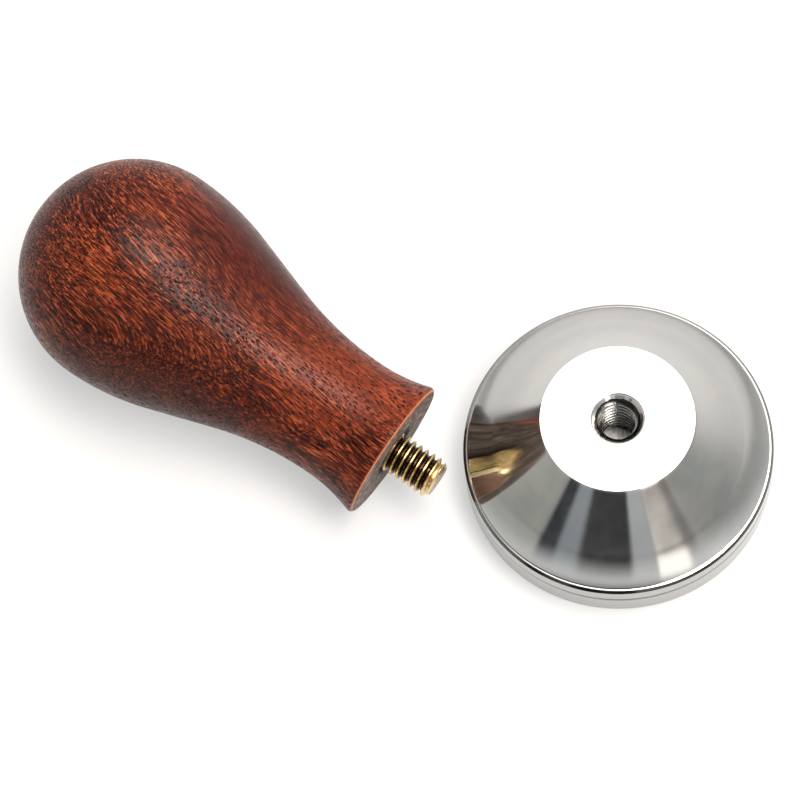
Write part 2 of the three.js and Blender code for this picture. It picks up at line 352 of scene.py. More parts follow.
def handle_outline():
    """From the bore's top down to the end face, and up the outside to the crown."""
    bulb_height = HANDLE_LENGTH - CROWN_HEIGHT
    bore_top = SHANK_LENGTH + WOOD_SCREW_LENGTH + BORE_SPARE
    bore_start = (BORE_RADIUS, bore_top - WOOD_SCREW_TIP)
    bore_end = (BORE_RADIUS, BORE_MOUTH_RADIUS - BORE_RADIUS)
    shoulder_x = BULB_RADIUS - SHOULDER_ARC
    flare_x = NECK_RADIUS + FLARE_ARC
    sine, cosine = math.sin(TAPER_ANGLE), math.cos(TAPER_ANGLE)

    # The taper runs from the shoulder arc to the neck arc, tangent to both
    taper_radius = shoulder_x + SHOULDER_ARC * cosine
    taper_height = bulb_height - SHOULDER_ARC * sine
    neck_arc = ((taper_radius - NECK_RADIUS - (taper_height - NECK_HEIGHT) * sine / cosine)
                / (1 - cosine - sine * sine / cosine))
    neck_x = NECK_RADIUS + neck_arc

    # The end's rounded edge is tangent to the flare and to the end face
    edge_x = flare_x - math.sqrt((FLARE_ARC + END_ROUND) ** 2 - (NECK_HEIGHT - END_ROUND) ** 2)
    edge_angle = math.atan2(NECK_HEIGHT - END_ROUND, flare_x - edge_x)
    return [
        (0, bore_top),
        *straight(bore_start, bore_end),
        *straight((BORE_MOUTH_RADIUS, 0), (edge_x, 0)),
        *arc(edge_x, END_ROUND, END_ROUND, -math.pi / 2, edge_angle, steps=12),
        *arc(flare_x, NECK_HEIGHT, FLARE_ARC, math.pi + edge_angle, math.pi, steps=16),
        *arc(neck_x, NECK_HEIGHT, neck_arc, math.pi, math.pi - TAPER_ANGLE, steps=16),
        *arc(shoulder_x, bulb_height, SHOULDER_ARC, -TAPER_ANGLE, 0, steps=20),
        *arc(0, bulb_height, BULB_RADIUS, 0, math.pi / 2, steps=48, tall=CROWN_HEIGHT)[:-1],
        (0, HANDLE_LENGTH),
    ]


def lying_place():
    """Where handle coordinates lie at rest: the swing joint, turned back from its upright end."""
    swing = frame["joints"][0]
    centre = Matrix.Translation(Vector(swing["pos_m"]))
    back = Matrix.Rotation(-math.radians(swing["range_deg"][1]), 4, Vector(swing["axis"]))
    return centre @ back @ centre.inverted() @ Matrix.Translation((0, 0, READY_HEIGHT * MM))


# ---------------------------------------------------------------------------------------------
# Node helpers
# ---------------------------------------------------------------------------------------------

BLACK = (0, 0, 0, 1)


def srgb(red, green, blue):
    """A screen colour of 0 to 255 as the linear colour that shaders take."""
    def linear(value):
        share = value / 255
        return share / 12.92 if share <= 0.04045 else ((share + 0.055) / 1.055) ** 2.4
    return (linear(red), linear(green), linear(blue), 1)


def grey(light):
    return (light, light, light, 1)


class Tree:
    """Short calls for building one node tree. Each returns an output socket, but for node() and
    surface().
    """

    def __init__(self, owner):
        owner.use_nodes = True
        self.tree = owner.node_tree
        self.tree.nodes.clear()

    def node(self, kind, inputs=None, **settings):
        """A new node, with its settings made and its inputs linked or set."""
        made = self.tree.nodes.new(kind)
        for name, value in settings.items():
            setattr(made, name, value)
        for name, value in (inputs or {}).items():
            if isinstance(value, bpy.types.NodeSocket):
                self.tree.links.new(value, made.inputs[name])
            else:
                made.inputs[name].default_value = value
        return made

    def math(self, operation, first, second=0.0):
        return self.node("ShaderNodeMath", {0: first, 1: second}, operation=operation).outputs[0]

    def vector_math(self, operation, first, second, output="Value"):
        made = self.node("ShaderNodeVectorMath", {0: first, 1: second}, operation=operation)
        return made.outputs[output]

    def times(self, first, *others):
        for other in others:
            first = self.math("MULTIPLY", first, other)
        return first

    def weighted(self, first, *others):
        """The sum of (value, weight) pairs."""
        total = self.times(*first)
        for other in others:
            total = self.math("ADD", total, self.times(*other))
        return total

    def opposite(self, value):
        return self.math("SUBTRACT", 1.0, value)

    def smooth(self, value, start, end):
        """0 at start, 1 at end, with a soft change between."""
        return self.node("ShaderNodeMapRange", {"Value": value, "From Min": start, "From Max": end},
                         interpolation_type="SMOOTHSTEP").outputs[0]

    def span(self, value, start, end, first, last):
        """A straight change from first to last while value goes from start to end."""
        return self.node("ShaderNodeMapRange", {
            "Value": value, "From Min": start, "From Max": end,
            "To Min": first, "To Max": last}).outputs[0]

    def ramp(self, value, stops):
        """A colour ramp from (place, colour) stops."""
        made = self.node("ShaderNodeValToRGB", {"Fac": value})
        elements = made.color_ramp.elements
        while len(elements) < len(stops):
            elements.new(0.5)
        for element, (place, _) in zip(elements, stops):
            element.position = place
        for element, (_, colour) in zip(elements, stops):
            element.color = colour
        return made.outputs["Color"]

    def mix(self, share, first, second, blend="MIX"):
        made = self.node("ShaderNodeMix", {0: share, 6: first, 7: second}, data_type="RGBA",
                         blend_type=blend)
        return made.outputs[2]

    def cover(self, below, where, strength, colour):
        """below, covered with colour at this strength where where is 1."""
        return self.mix(self.times(where, strength), below, colour)

    def scaled(self, vector, scale):
        return self.node("ShaderNodeMapping", {"Vector": vector, "Scale": scale}).outputs[0]

    def noise(self, vector, scale=1.0, detail=3.0, roughness=0.5, distortion=0.0):
        return self.node("ShaderNodeTexNoise", {
            "Vector": vector, "Scale": scale, "Detail": detail, "Roughness": roughness,
            "Distortion": distortion}).outputs["Fac"]

    def noise_along(self, value, scale, detail, roughness):
        return self.node("ShaderNodeTexNoise", {
            "W": value, "Scale": scale, "Detail": detail, "Roughness": roughness},
            noise_dimensions="1D").outputs["Fac"]

    def place(self, where=None):
        """Coordinates in millimetres, in the frame that where (a matrix) carries to the scene."""
        own = self.node("ShaderNodeTexCoord").outputs["Object"]
        where = where or Matrix()
        return self.node("ShaderNodeMapping", {
            "Vector": own, "Location": where.translation, "Rotation": where.to_euler(),
            "Scale": (MM, MM, MM)}, vector_type="TEXTURE").outputs[0]

    def split(self, vector):
        return self.node("ShaderNodeSeparateXYZ", {0: vector}).outputs

    def from_axis(self, place):
        """Distance from the axis, and the height along it."""
        x, y, z = self.split(place)
        squares = self.math("ADD", self.times(x, x), self.times(y, y))
        return self.math("SQRT", squares), z

    def bump(self, height, depth):
        """A bump whose full height is depth millimetres."""
        return self.node("ShaderNodeBump", {
            "Height": height, "Distance": depth * MM, "Strength": 1.0}).outputs[0]

    def surface(self, **inputs):
        """The principled shader, with its inputs named by words joined with underscores."""
        named = {name.replace("_", " "): value for name, value in inputs.items()}
        shader = self.node("ShaderNodeBsdfPrincipled", named)
        self.node("ShaderNodeOutputMaterial", {"Surface": shader.outputs[0]})


def material(name):
    made = bpy.data.materials.new(name)
    return made, Tree(made)


def gradient(*stops):
    """Ramp stops from (place, red, green, blue) rows of screen colours."""
    return [(place, srgb(*colour)) for place, *colour in stops]


# ---------------------------------------------------------------------------------------------
# Steel base. In all materials, distances are in millimetres, a strength says how far a layer covers
# what is below, and a scale has one number for each axis: the smaller, the longer the features
# ---------------------------------------------------------------------------------------------

STEEL_CLEAN = srgb(189, 190, 188)
STEEL_HANDLED = srgb(194, 193, 190)
STEEL_ROUGHNESS = (0.095, 0.125)
HANDLED_RANGE = (0.38, 0.62)
SMUDGE_WEIGHT = 0.65
WIPE_WEIGHT = 0.35
WIPE_SCALE = (0.55, 0.12, 0.4)
RING_SHADE = srgb(150, 149, 146)
RING_STRENGTH = 0.22
RING_DEPTH = 0.0008

# The lathe's rings run round the axis, so reflections blur a quarter turn from that: in and out
BRUSHED = 0.9
QUARTER_TURN = 0.25

# Painted shade: the steel darkens outwards over the cone, so that its reflections read darker there
OUTER_SHADE_RADII = (16.0, 22.0)
OUTER_CONE_PAINTED_SHADE = 0.13
# Painted shade: a near-black line on the rim's chamfer, in place of a dark reflection there
RIM_PAINTED_SHADE = srgb(20, 20, 20)
RIM_SHADE_STRENGTH = 0.6
RIM_LINE_START = (RIM_RADIUS + 0.03, SIDE_TOP + 0.05)
# The groove is coloured dark brown
GROOVE_DARK = srgb(84, 68, 52)
GROOVE_DARK_STRENGTH = 0.95
GROOVE_DARK_EDGE = 0.04

# Painted shade: the hole's threaded wall is coloured dark, and half lifted back to plain steel on
# its crests
HOLE_WALL_PAINTED_SHADE = (srgb(34, 32, 31), srgb(76, 74, 70))
HOLE_CREST = srgb(186, 185, 180)
HOLE_CREST_STRENGTH = 0.5
HOLE_CREST_EDGES = (THREAD_CORE + RADIAL_PLAY + 0.6, THREAD_CORE + RADIAL_PLAY + 0.1)
# Painted light: the hole's bottom is coloured lighter than the steel elsewhere
HOLE_FLOOR_PAINTED_LIGHT = (srgb(206, 206, 203), srgb(252, 252, 250))
HOLE_ROUGHNESS = 0.10
HOLE_MOTTLE_ROUGHNESS = 0.12
HOLE_FLOOR_ROUGHNESS = 0.32
TOOL_MARK_SCALE = (2.6, 0.7, 1.0)
TOOL_MARK_DEPTH = 0.03
FLAT_SLACK = 0.02


def turned_steel():
    """Stainless steel with a lathe's fine rings, which blur reflections across them, and smears."""
    made, tree = material("turned_steel")
    place = tree.place()
    radius, z = tree.from_axis(place)
    along = tree.math("SUBTRACT", radius, z)
    rings = tree.noise_along(along, scale=5.5, detail=4.0, roughness=0.75)
    smudges = tree.noise(place, scale=0.13, detail=4.0, roughness=0.6, distortion=0.8)
    wipes = tree.noise(tree.scaled(place, WIPE_SCALE), detail=4.0, roughness=0.6, distortion=0.5)
    handled = tree.weighted((smudges, SMUDGE_WEIGHT), (wipes, WIPE_WEIGHT))
    roughness = tree.span(handled, *HANDLED_RANGE, *STEEL_ROUGHNESS)

    colour = tree.mix(tree.smooth(handled, start=0.4, end=0.6), STEEL_CLEAN, STEEL_HANDLED)
    deep_rings = tree.smooth(rings, start=0.5, end=0.75)
    colour = tree.cover(colour, deep_rings, RING_STRENGTH, RING_SHADE)
    # painted shade on the outer cone
    colour = tree.cover(colour, tree.smooth(radius, *OUTER_SHADE_RADII), OUTER_CONE_PAINTED_SHADE, BLACK)
    # painted shade: a dark line on the rim's chamfer
    line_radius, line_height = RIM_LINE_START
    on_chamfer = tree.times(tree.math("GREATER_THAN", z, line_height),
                            tree.math("GREATER_THAN", radius, line_radius))
    colour = tree.cover(colour, on_chamfer, RIM_SHADE_STRENGTH, RIM_PAINTED_SHADE)
    # darker in the groove
    in_groove = tree.times(
        tree.math("LESS_THAN", z, GROOVE_HEIGHT + GROOVE_WIDTH),
        tree.smooth(radius, BASE_RADIUS - GROOVE_DARK_EDGE, BASE_RADIUS - GROOVE_DEPTH),
        tree.math("GREATER_THAN", z, GROOVE_HEIGHT - GROOVE_WIDTH))
    colour = tree.cover(colour, in_groove, GROOVE_DARK_STRENGTH, GROOVE_DARK)

    round_axis = tree.node("ShaderNodeTangent", direction_type="RADIAL", axis="Z").outputs[0]
    tree.surface(Base_Color=colour, Metallic=1.0, Roughness=roughness, Anisotropic=BRUSHED,
                 Anisotropic_Rotation=QUARTER_TURN, Tangent=round_axis,
                 Normal=tree.bump(rings, RING_DEPTH))
    return made


def hole_steel():
    """The tapped hole: cut steel with painted shade on its threaded wall, half lifted on the
    crests, and painted light on its bottom, which has tool marks.
    """
    made, tree = material("tapped_steel")
    place = tree.place()
    radius, z = tree.from_axis(place)
    mottle = tree.noise(place, scale=1.4, detail=4.0, roughness=0.6)
    marks = tree.noise(tree.scaled(place, TOOL_MARK_SCALE), detail=4.0, roughness=0.6,
                       distortion=0.8)
    on_floor = tree.math("LESS_THAN", z, HOLE_FLOOR + FLAT_SLACK)
    wall = tree.mix(mottle, *HOLE_WALL_PAINTED_SHADE)
    wall = tree.cover(wall, tree.smooth(radius, *HOLE_CREST_EDGES), HOLE_CREST_STRENGTH, HOLE_CREST)
    # painted light on the hole's bottom, mottled by the tool marks
    floor = tree.mix(tree.smooth(marks, start=0.35, end=0.65), *HOLE_FLOOR_PAINTED_LIGHT)
    colour = tree.mix(on_floor, wall, floor)
    roughness = tree.math("ADD", HOLE_ROUGHNESS, tree.times(mottle, HOLE_MOTTLE_ROUGHNESS))
    roughness = tree.math("ADD", roughness, tree.times(on_floor, HOLE_FLOOR_ROUGHNESS))
    tree.surface(Base_Color=colour, Metallic=1.0, Roughness=roughness,
                 Normal=tree.bump(marks, TOOL_MARK_DEPTH))
    return made


# ---------------------------------------------------------------------------------------------
# Bolt
# ---------------------------------------------------------------------------------------------

ZINC_FILM = gradient((0.32, 150, 160, 92), (0.42, 214, 190, 108), (0.50, 232, 208, 152),
                     (0.58, 226, 162, 126), (0.70, 186, 166, 90))
# Painted shade: the thread's roots are darkened nearly to black, less so near the tip
ROOT_PAINTED_SHADE = srgb(34, 24, 14)
ROOT_RADII = (THREAD_CORE + 0.25, THREAD_RADIUS - 0.05)
TIP_HEIGHTS = (-STUD_LENGTH + 1.7, -STUD_LENGTH + 0.9)
TIP_UNSHADED = 0.85
# Painted highlight: the chamfer and last turns of the stud are coloured a light cream gold
TIP_PAINTED_HIGHLIGHT = (srgb(196, 172, 118), srgb(248, 230, 188))
TIP_HIGHLIGHT_STRENGTH = 0.7
CHAMFER_SLACK = -0.04
STUD_END = (srgb(136, 98, 80), srgb(190, 150, 126))
# Painted shade: the stud darkens on its side that faces down at rest
STUD_UNDERSIDE_PAINTED_SHADE = srgb(58, 52, 42)
STUD_UNDERSIDE_SHADE_STRENGTH = 0.6
STUD_UNDERSIDE_Y = (0.0, -2.5)  # Y in handle coordinates, so the side that faces down at rest
ZINC_ROUGHNESS = 0.16
DIRT_ROUGHNESS = 0.24
DIRT_DEPTH = 0.03


def yellow_zinc(where):
    """Zinc plate with a yellow film that shimmers gold, pink and green; painted shade in the thread
    roots and on the down side, a painted highlight at the tip.
    """
    made, tree = material("yellow_zinc")
    place = tree.place(where)
    radius, z = tree.from_axis(place)
    film = tree.noise(place, scale=0.75, detail=3.0, roughness=0.55, distortion=0.4)
    dirt_and_shade = tree.noise(place, scale=2.2, detail=4.0, roughness=0.6)

    # painted shade in the thread's roots
    low = tree.opposite(tree.smooth(radius, *ROOT_RADII))
    near_tip = tree.smooth(z, *TIP_HEIGHTS)
    root_shade_left = tree.opposite(tree.times(near_tip, TIP_UNSHADED))
    patchy = tree.span(dirt_and_shade, start=0.3, end=0.6, first=0.86, last=1.0)
    roots = tree.times(low, root_shade_left, patchy)
    colour = tree.mix(roots, tree.ramp(film, ZINC_FILM), ROOT_PAINTED_SHADE)

    past_chamfer = tree.math("SUBTRACT", tree.math("SUBTRACT", radius, z),
                             STUD_TIP_RADIUS + STUD_LENGTH)
    on_chamfer = tree.math("GREATER_THAN", past_chamfer, CHAMFER_SLACK)
    # painted highlight on the tip
    tip_highlight = tree.math("MAXIMUM", on_chamfer, tree.times(near_tip, TIP_HIGHLIGHT_STRENGTH))
    colour = tree.mix(tip_highlight, colour, tree.mix(dirt_and_shade, *TIP_PAINTED_HIGHLIGHT))
    on_end = tree.math("LESS_THAN", z, -STUD_LENGTH + FLAT_SLACK)
    colour = tree.mix(on_end, colour, tree.mix(dirt_and_shade, *STUD_END))
    # painted shade on the stud's downward side
    stud_underside_shade = tree.smooth(tree.split(place)[1], *STUD_UNDERSIDE_Y)
    colour = tree.cover(colour, stud_underside_shade, STUD_UNDERSIDE_SHADE_STRENGTH, STUD_UNDERSIDE_PAINTED_SHADE)

    roughness = tree.math("ADD", ZINC_ROUGHNESS, tree.times(dirt_and_shade, DIRT_ROUGHNESS))
    tree.surface(Base_Color=colour, Metallic=1.0, Roughness=roughness,
                 Normal=tree.bump(dirt_and_shade, DIRT_DEPTH))
    return made


# ---------------------------------------------------------------------------------------------
# Wooden handle, in its own coordinates: at rest, +Y faces the camera and +X its lower left
# ---------------------------------------------------------------------------------------------

# How far the grain leans and bows, and the figures in it, from coarse to fine
GRAIN_LEAN_X = 22.0
GRAIN_LEAN_Y = 16.0
GRAIN_BOW = 0.0021
LEAN_X_SCALE = (0.03, 0.03, 0.013)
LEAN_Y_SCALE = (0.03, 0.04, 0.016)
FIGURE_SCALE = (0.085, 0.07, 0.022)
RIBBON_SCALE = (0.50, 0.20, 0.030)
FIBRE_SCALE = (2.8, 1.1, 0.27)
STRAND_SCALE = (5.0, 2.4, 0.42)
CROWDING_SCALE = (0.12, 0.12, 0.05)
FIGURE_WEIGHT = 0.15
RIBBON_WEIGHT = 0.09
FIBRE_WEIGHT = 0.36
STRAND_WEIGHT = 0.40

WOOD_BODY = gradient((0.42, 24, 7, 5), (0.46, 44, 14, 8), (0.50, 77, 27, 13), (0.54, 106, 42, 20),
                     (0.59, 148, 75, 43))
WOOD_QUIET = gradient((0.42, 38, 12, 12), (0.50, 56, 19, 16), (0.58, 76, 28, 23))
QUIET_STRENGTH = 0.85
SAPWOOD = srgb(112, 45, 24)
SAPWOOD_STRENGTH = 0.55
SAPWOOD_HEIGHTS = (34.0, 14.0)
# Painted shade on the handle's lower-left side
LOWER_SIDE_PAINTED_SHADE = srgb(42, 15, 10)
LOWER_SIDE_SHADE_STRENGTH = 0.62
# Painted shade on the handle's far edge, beside the sheen
FAR_EDGE_PAINTED_SHADE = srgb(50, 18, 12)
FAR_EDGE_SHADE_STRENGTH = 0.5
# Painted shade on the handle's underside
UNDERSIDE_PAINTED_SHADE = srgb(34, 14, 10)
UNDERSIDE_STRENGTH = 0.7
UNDERSIDE_Y = (1.0, -8.0)
PORE = srgb(16, 5, 4)
PORE_STRENGTH = 0.92
FINE_PORE_STRENGTH = 0.6
PORES_LEFT_IN_PATCH = 0.25
# Painted highlight: a light orange line along the end's rounded edge, on the side towards the light
END_EDGE_PAINTED_HIGHLIGHT = srgb(205, 128, 88)
END_EDGE_HIGHLIGHT_STRENGTH = 0.7
END_EDGE_HEIGHTS = (0.45, 0.1)
END_EDGE_LIT_Y = (-3.0, 3.0)

# Patches in the wood: middle and radius, and the share of the radius that is evenly covered. The
# smooth patch is darker, with fewer pores; the lower side and far edge patches are painted shade
SMOOTH_PATCH = ((-17.0, 9.0, 42.0), 22.5)
LOWER_SIDE_SHADE_PATCH = ((24.0, 6.0, 40.0), 32.0)
FAR_EDGE_SHADE_PATCH = ((-24.0, 4.0, 30.0), 30.0)
PATCH_CORE = 0.35

LACQUER_ROUGHNESS = (0.25, 0.33)
WORN_RANGE = (0.35, 0.65)
PORE_ROUGHNESS = 0.4
LACQUER_SPECULAR = 0.11
FIBRE_RELIEF = 0.5
WOOD_DEPTH = 0.07

END_GRAIN = gradient((0.38, 20, 12, 10), (0.46, 54, 40, 34), (0.52, 86, 68, 58),
                     (0.60, 190, 170, 152))
END_FIBRE_WEIGHT = 0.45
SCRATCH_WEIGHT = 0.55
SCRATCH_SCALE = (0.3, 1.9, 1.0)
# Painted shade: the end face darkens round the bore's mouth
BORE_PAINTED_SHADE = srgb(22, 16, 12)
BORE_SHADE_STRENGTH = 0.9
BORE_SHADE_RADII = (BORE_MOUTH_RADIUS + 1.6, BORE_MOUTH_RADIUS - 0.2)
END_ROUGHNESS = 0.7
END_DEPTH = 0.25


def pore_cells(tree, place, across, along, start, end):
    """1 inside the dark open vessels of the wood, which are long cells along the grain."""
    cells = tree.node("ShaderNodeTexVoronoi", {
        "Vector": tree.scaled(place, (across, across, along)), "Scale": 1.0, "Randomness": 1.0},
        feature="F1").outputs["Distance"]
    return tree.opposite(tree.smooth(cells, start, end))


def in_patch(tree, place, patch):
    """1 in the middle of a round patch, fading to 0 at its edge."""
    middle, radius = patch
    away = tree.vector_math("DISTANCE", place, middle)
    return tree.smooth(away, radius, radius * PATCH_CORE)


def along_grain(tree, place, z):
    """The place moved sideways by a slow lean and bow, so that stretched figures follow them."""
    lean_x = tree.noise(tree.scaled(place, LEAN_X_SCALE), scale=1.0, detail=2.0)
    lean_y = tree.noise(tree.scaled(place, LEAN_Y_SCALE), scale=1.7, detail=2.0)
    shift = tree.node("ShaderNodeCombineXYZ", {
        "X": tree.math("ADD", tree.times(z, z, GRAIN_BOW), tree.times(lean_x, GRAIN_LEAN_X)),
        "Y": tree.times(lean_y, GRAIN_LEAN_Y)}).outputs[0]
    return tree.vector_math("ADD", place, shift, "Vector")


def lacquered_wood(where):
    """Red-brown tropical hardwood: leaning grain, dark open pores and a satin lacquer."""
    made, tree = material("lacquered_wood")
    place = tree.place(where)
    radius, z = tree.from_axis(place)
    y = tree.split(place)[1]
    grain = along_grain(tree, place, z)
    smooth_patch = in_patch(tree, place, SMOOTH_PATCH)

    figure = tree.noise(tree.scaled(grain, FIGURE_SCALE), detail=3.0, roughness=0.55)
    ribbons = tree.noise(tree.scaled(grain, RIBBON_SCALE), detail=2.0)
    fibres = tree.noise(tree.scaled(grain, FIBRE_SCALE), detail=2.0)
    strands = tree.noise(tree.scaled(grain, STRAND_SCALE), detail=2.0)
    tone = tree.weighted((figure, FIGURE_WEIGHT), (ribbons, RIBBON_WEIGHT),
                         (fibres, FIBRE_WEIGHT), (strands, STRAND_WEIGHT))

    vessels = pore_cells(tree, grain, across=1.9, along=0.62, start=0.22, end=0.38)
    fine_vessels = pore_cells(tree, grain, across=3.2, along=0.95, start=0.20, end=0.38)
    crowding = tree.noise(tree.scaled(grain, CROWDING_SCALE), scale=1.3, detail=2.0)
    crowded = tree.times(
        tree.span(crowding, start=0.34, end=0.54, first=0.6, last=1.0),
        tree.span(smooth_patch, start=0.0, end=1.0, first=1.0, last=PORES_LEFT_IN_PATCH))
    deepest = tree.math("MAXIMUM", vessels, tree.times(fine_vessels, FINE_PORE_STRENGTH))
    pores = tree.times(deepest, crowded)

    sapwood = tree.times(tree.smooth(z, *SAPWOOD_HEIGHTS),
                         tree.smooth(figure, start=0.40, end=0.56))
    # painted highlight on the end's edge
    end_edge_highlight = tree.times(tree.math("GREATER_THAN", radius, NECK_RADIUS),
                           tree.smooth(z, *END_EDGE_HEIGHTS), tree.smooth(y, *END_EDGE_LIT_Y))
    colour = tree.ramp(tone, WOOD_BODY)
    colour = tree.cover(colour, smooth_patch, QUIET_STRENGTH, tree.ramp(tone, WOOD_QUIET))
    # Painted shade on the lower-left side, the far edge and the underside, and a painted highlight
    # on the end's edge; sapwood and pores are the wood's own colour
    for shape, strength, layer in (
            (sapwood, SAPWOOD_STRENGTH, SAPWOOD),
            (in_patch(tree, place, LOWER_SIDE_SHADE_PATCH), LOWER_SIDE_SHADE_STRENGTH, LOWER_SIDE_PAINTED_SHADE),
            (in_patch(tree, place, FAR_EDGE_SHADE_PATCH), FAR_EDGE_SHADE_STRENGTH, FAR_EDGE_PAINTED_SHADE),
            (tree.smooth(y, *UNDERSIDE_Y), UNDERSIDE_STRENGTH, UNDERSIDE_PAINTED_SHADE),
            (pores, PORE_STRENGTH, PORE),
            (end_edge_highlight, END_EDGE_HIGHLIGHT_STRENGTH, END_EDGE_PAINTED_HIGHLIGHT)):
        colour = tree.cover(colour, shape, strength, layer)

    worn = tree.noise(place, scale=0.35, detail=4.0, roughness=0.6)
    lacquer = tree.span(worn, *WORN_RANGE, *LACQUER_ROUGHNESS)
    roughness = tree.math("ADD", lacquer, tree.times(pores, PORE_ROUGHNESS))
    height = tree.math("SUBTRACT", tree.times(fibres, FIBRE_RELIEF), pores)
    tree.surface(Base_Color=colour, Roughness=roughness, Specular_IOR_Level=LACQUER_SPECULAR,
                 Normal=tree.bump(height, WOOD_DEPTH))
    return made


def end_grain(where):
    """The handle's bare end face: open end grain, dark and greyed, with saw marks."""
    made, tree = material("end_grain")
    place = tree.place(where)
    radius, _ = tree.from_axis(place)
    fibres = tree.noise(place, scale=1.1, detail=5.0, roughness=0.7)
    scratches = tree.noise(tree.scaled(place, SCRATCH_SCALE), detail=4.0, roughness=0.65)
    tone = tree.weighted((fibres, END_FIBRE_WEIGHT), (scratches, SCRATCH_WEIGHT))
    # painted shade round the bore
    bore_shade = tree.smooth(radius, *BORE_SHADE_RADII)
    colour = tree.cover(tree.ramp(tone, END_GRAIN), bore_shade, BORE_SHADE_STRENGTH, BORE_PAINTED_SHADE)
    tree.surface(Base_Color=colour, Roughness=END_ROUGHNESS, Normal=tree.bump(tone, END_DEPTH))
    return made


# ---------------------------------------------------------------------------------------------
# Which faces take the second material
# ---------------------------------------------------------------------------------------------

FACE_SLACK = 0.01
BRIGHT_MOUTH = 0.7
END_FACE_DEPTH = 0.05
DOWNWARDS = -0.9


def in_hole(centre, _):
    """The thread, relief and floor of the hole, but not its bright mouth."""
    return (HOLE_FLOOR - FACE_SLACK < centre.z < BASE_HEIGHT - BRIGHT_MOUTH
            and math.hypot(centre.x, centre.y) < RELIEF_RADIUS + FACE_SLACK)


def on_end_face(centre, normal):
    """The flat end face and the bore behind it."""
    if normal.z < DOWNWARDS and centre.z < END_FACE_DEPTH:
        return True
    return math.hypot(centre.x, centre.y) < BORE_MOUTH_RADIUS and centre.z < HANDLE_LENGTH / 2


def paint(piece, main, other=None, test=None):
    """Gives the piece its main material, and the other one to the faces whose centre and normal,
    in millimetres and the piece's own frame, pass the test."""
    piece.data.materials.append(main)
    if other:
        piece.data.materials.append(other)
        for face in piece.data.polygons:
            face.material_index = int(test(face.center / MM, face.normal))


# ---------------------------------------------------------------------------------------------
# Room light
# ---------------------------------------------------------------------------------------------

# What the steel shows of the room near the horizon, going round it in degrees from the viewer's
# side, positive towards +X: white boards, and the dark stands, operator and gaps between them
STEEL_MIRROR = 0.52
HORIZON_BELT = [
    (-180, (191, 191, 189)), (-112, (182, 182, 180)), (-92, (162, 163, 157)),
    (-61, (160, 161, 155)), (-58.5, (40, 45, 52)), (-50, (40, 45, 52)), (-47, (134, 140, 145)),
    (-37, (130, 136, 141)), (-33, (34, 35, 37)), (-3, (32, 33, 35)), (0, (146, 148, 152)),
    (11, (150, 152, 156)), (14, (128, 116, 108)), (27, (134, 122, 113)), (31, (108, 100, 94)),
    (36, (108, 100, 94)), (40, (152, 151, 145)), (52, (150, 150, 145)), (60, (134, 136, 135)),
    (76, (140, 142, 140)), (97, (158, 158, 156)), (112, (177, 177, 174)), (180, (192, 192, 190))]
LOW_BELT = [
    (-180, (160, 160, 158)), (-92, (150, 150, 146)), (-66, (130, 130, 126)), (-58, (8, 8, 8)),
    (20, (8, 8, 8)), (26, (60, 60, 60)), (40, (90, 90, 90)), (58, (132, 134, 132)),
    (90, (150, 150, 148)), (180, (160, 160, 158))]

# Elevations in degrees over which one band gives way to the next. The horizon belt's top lies lower
# by BELT_DROP, which goes round the room as the belt does and fits in this range round 0
LOW_BELT_TOP = (7.0, 10.5)
BELT_TOP = (13.5, 30.0)
BELT_DROP = [(-180, -1), (-75, -2), (-60, -1.5), (-50, 0), (-35, 0), (-32, -1.5), (-4, -2.5),
             (0, 4), (20, 3), (28, 5), (38, 3), (50, 1), (60, 2), (90, 2), (110, 0), (180, -1)]
BELT_DROP_RANGE = 10.0
UPPER_LIGHT = 1.10
DOME_START = (33.0, 44.0)
DOME_BRIGHT = 0.55
DOME_DARK = 0.12
DOME_TOWARDS = (0.80, 0.60, 0)
DOME_SIDES = (-0.6, 0.6)

# Bright panels: azimuth and elevation of the middle, outer and inner radius of the soft edge in
# degrees, and brightness
PANELS = [(132, 70, 30, 19, 4.7), (48, 60, 18, 9, 16.0), (108, 75, 15, 9, 15.0)]
PANEL_TINT = (1.0, 0.94, 0.89)

# A bright gap in the belt: azimuths and elevations over which each of its edges softens
GAP_AZIMUTH = ((12.0, 14.5), (34.0, 29.0))
GAP_ELEVATION = ((14.5, 16.2), (38.0, 31.0))
GAP_LIGHT = (2.4, 2.34, 2.2, 1)
BACKDROP = 0.75


def in_steel(red, green, blue):
    """The light that steel shows as this screen colour."""
    return tuple(part / STEEL_MIRROR for part in srgb(red, green, blue)[:3]) + (1,)


def round_the_room(tree, share, stops):
    """A colour that goes round the room, from (degrees, colour) stops."""
    return tree.ramp(share, [((angle + 180) / 360, colour) for angle, colour in stops])


def belt(tree, share, stops):
    return round_the_room(tree, share, [(angle, in_steel(*colour)) for angle, colour in stops])


def panel_middle(azimuth, elevation):
    around, up = math.radians(azimuth), math.radians(elevation)
    return (math.sin(around) * math.cos(up), -math.cos(around) * math.cos(up), math.sin(up))


